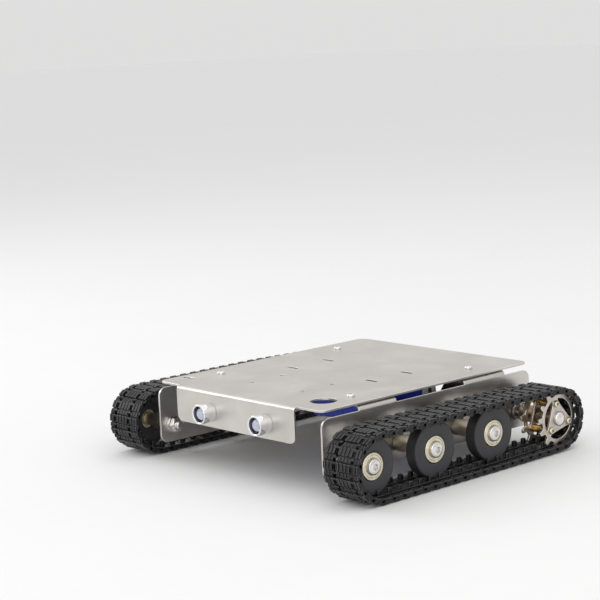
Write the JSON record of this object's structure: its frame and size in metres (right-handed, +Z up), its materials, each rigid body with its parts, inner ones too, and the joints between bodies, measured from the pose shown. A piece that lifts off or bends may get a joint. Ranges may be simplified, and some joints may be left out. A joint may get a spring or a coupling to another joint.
{
  "type": "tracked robot chassis",
  "caption": "Tracked robot chassis: folded stainless deck with a bumper and headlights, side walls, idler wheels, driven sprockets and a linked plastic track on each side.",
  "frame": {"origin": "centre of the footprint, on the ground under the tracks", "axes": "+Z up, -Y towards the front bumper, +X towards the robot's left side"},
  "size_m": [0.258, 0.2244, 0.0591],
  "materials": {
    "stainless": "brushed",
    "fasteners": "polished",
    "bearing_steel": "satin",
    "spacer_aluminium": "satin",
    "brass": "machined",
    "wheel_nylon": "satin",
    "track_plastic": "satin",
    "gearbox_metal": "satin",
    "motor_can": "satin",
    "lamp_chrome": "polished",
    "lamp_lens": "clear",
    "battery_wrap": "shrink wrap",
    "foam": "foam"
  },
  "bodies": {
    "chassis": {"deck_and_bumper_sheet": "stainless", "left_side_wall": "stainless", "left_deck_screw_front": "fasteners", "left_deck_screw_rear": "fasteners", "left_headlight_body": "lamp_chrome", "left_headlight_lens": "lamp_lens", "left_motor_gearbox": "gearbox_metal", "left_motor_can": "motor_can", "left_track_belt": "track_plastic", "left_front_axle_bolt_and_nut": "fasteners", "left_front_axle_spacer": "spacer_aluminium", "left_middle_axle_bolt_and_nut": "fasteners", "left_middle_axle_spacer": "spacer_aluminium", "left_rear_axle_bolt_and_nut": "fasteners", "left_rear_axle_spacer": "spacer_aluminium", "right_side_wall": "stainless", "right_deck_screw_front": "fasteners", "right_deck_screw_rear": "fasteners", "right_headlight_body": "lamp_chrome", "right_headlight_lens": "lamp_lens", "right_motor_gearbox": "gearbox_metal", "right_motor_can": "motor_can", "right_track_belt": "track_plastic", "right_front_axle_bolt_and_nut": "fasteners", "right_front_axle_spacer": "spacer_aluminium", "right_middle_axle_bolt_and_nut": "fasteners", "right_middle_axle_spacer": "spacer_aluminium", "right_rear_axle_bolt_and_nut": "fasteners", "right_rear_axle_spacer": "spacer_aluminium", "battery_pack": "battery_wrap", "battery_foam_pad": "foam"},
    "left_drive_sprocket": {"left_sprocket_outer_plate": "stainless", "left_sprocket_inner_plate": "stainless", "left_sprocket_post_1": "brass", "left_sprocket_post_2": "brass", "left_sprocket_post_3": "brass", "left_sprocket_hub": "brass", "left_sprocket_cap_screw": "fasteners", "left_motor_output_shaft": "fasteners"},
    "left_front_idler": {"left_front_wheel": "wheel_nylon", "left_front_wheel_bearing": "bearing_steel"},
    "left_middle_idler": {"left_middle_wheel": "wheel_nylon", "left_middle_wheel_bearing": "bearing_steel"},
    "left_rear_idler": {"left_rear_wheel": "wheel_nylon", "left_rear_wheel_bearing": "bearing_steel"},
    "right_drive_sprocket": {"right_sprocket_outer_plate": "stainless", "right_sprocket_inner_plate": "stainless", "right_sprocket_post_1": "brass", "right_sprocket_post_2": "brass", "right_sprocket_post_3": "brass", "right_sprocket_hub": "brass", "right_sprocket_cap_screw": "fasteners", "right_motor_output_shaft": "fasteners"},
    "right_front_idler": {"right_front_wheel": "wheel_nylon", "right_front_wheel_bearing": "bearing_steel"},
    "right_middle_idler": {"right_middle_wheel": "wheel_nylon", "right_middle_wheel_bearing": "bearing_steel"},
    "right_rear_idler": {"right_rear_wheel": "wheel_nylon", "right_rear_wheel_bearing": "bearing_steel"}
  },
  "joints": [
    {"name": "left_drive_spin", "type": "hinge", "parent": "chassis", "child": "left_drive_sprocket", "pos_m": [0.114, 0.0892, 0.0233], "axis": [1, 0, 0], "continuous": true},
    {"name": "left_front_idler_spin", "type": "hinge", "parent": "chassis", "child": "left_front_idler", "pos_m": [0.1149, -0.08875, 0.0239], "axis": [1, 0, 0], "continuous": true},
    {"name": "left_middle_idler_spin", "type": "hinge", "parent": "chassis", "child": "left_middle_idler", "pos_m": [0.1149, -0.0312, 0.0239], "axis": [1, 0, 0], "continuous": true},
    {"name": "left_rear_idler_spin", "type": "hinge", "parent": "chassis", "child": "left_rear_idler", "pos_m": [0.1149, 0.02635, 0.0239], "axis": [1, 0, 0], "continuous": true},
    {"name": "right_drive_spin", "type": "hinge", "parent": "chassis", "child": "right_drive_sprocket", "pos_m": [-0.114, 0.0892, 0.0233], "axis": [1, 0, 0], "continuous": true},
    {"name": "right_front_idler_spin", "type": "hinge", "parent": "chassis", "child": "right_front_idler", "pos_m": [-0.1149, -0.08875, 0.0239], "axis": [1, 0, 0], "continuous": true},
    {"name": "right_middle_idler_spin", "type": "hinge", "parent": "chassis", "child": "right_middle_idler", "pos_m": [-0.1149, -0.0312, 0.0239], "axis": [1, 0, 0], "continuous": true},
    {"name": "right_rear_idler_spin", "type": "hinge", "parent": "chassis", "child": "right_rear_idler", "pos_m": [-0.1149, 0.02635, 0.0239], "axis": [1, 0, 0], "continuous": true}
  ],
  "couplings": [
    {"joint": "left_front_idler_spin", "follows": "left_drive_spin", "ratio": 0.9371},
    {"joint": "left_middle_idler_spin", "follows": "left_drive_spin", "ratio": 1.0511},
    {"joint": "left_rear_idler_spin", "follows": "left_drive_spin", "ratio": 1.0511},
    {"joint": "right_front_idler_spin", "follows": "right_drive_spin", "ratio": 0.9371},
    {"joint": "right_middle_idler_spin", "follows": "right_drive_spin", "ratio": 1.0511},
    {"joint": "right_rear_idler_spin", "follows": "right_drive_spin", "ratio": 1.0511}
  ]
}
